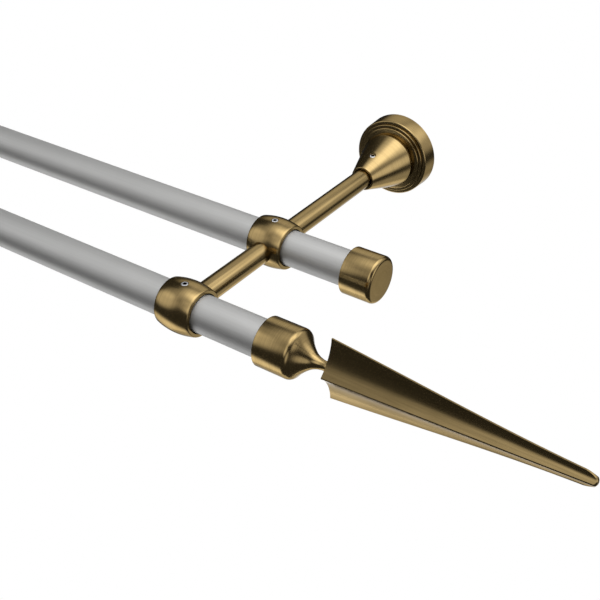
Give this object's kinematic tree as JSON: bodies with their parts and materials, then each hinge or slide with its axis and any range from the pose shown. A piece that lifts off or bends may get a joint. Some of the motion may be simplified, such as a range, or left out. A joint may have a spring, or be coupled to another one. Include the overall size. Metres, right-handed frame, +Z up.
{
  "type": "double curtain pole",
  "caption": "Parallel round tubes carried in barrel rings on stepped wall bracket arms, the front one ending in spear finials and the rear one in plain caps.",
  "frame": {"origin": "on the wall plane, midway between the two brackets, at the height of their arms and poles", "axes": "+X along the poles, +Y into the wall, +Z up; the room is on the -Y side"},
  "size_m": [1.2978, 0.2275, 0.0504],
  "materials": {
    "antique_brass": "brushed antique brass",
    "satin_silver": "satin silver",
    "zinc_steel": "bright zinc"
  },
  "bodies": {
    "root": {"front_pole": "satin_silver", "rear_pole": "satin_silver", "left_rear_arm": "antique_brass", "left_front_arm": "antique_brass", "left_rosette": "antique_brass", "left_rear_ring": "antique_brass", "left_front_ring": "antique_brass", "left_rear_cap": "antique_brass", "left_finial": "antique_brass", "left_wall_plate": "zinc_steel", "left_arm_screw": "zinc_steel", "left_rosette_grub_screw": "zinc_steel", "left_rear_ring_grub_screw": "zinc_steel", "left_front_ring_grub_screw": "zinc_steel", "left_rear_cap_grub_screw": "zinc_steel", "left_finial_grub_screw": "zinc_steel", "right_rear_arm": "antique_brass", "right_front_arm": "antique_brass", "right_rosette": "antique_brass", "right_rear_ring": "antique_brass", "right_front_ring": "antique_brass", "right_rear_cap": "antique_brass", "right_finial": "antique_brass", "right_wall_plate": "zinc_steel", "right_arm_screw": "zinc_steel", "right_rosette_grub_screw": "zinc_steel", "right_rear_ring_grub_screw": "zinc_steel", "right_front_ring_grub_screw": "zinc_steel", "right_rear_cap_grub_screw": "zinc_steel", "right_finial_grub_screw": "zinc_steel"}
  },
  "joints": []
}
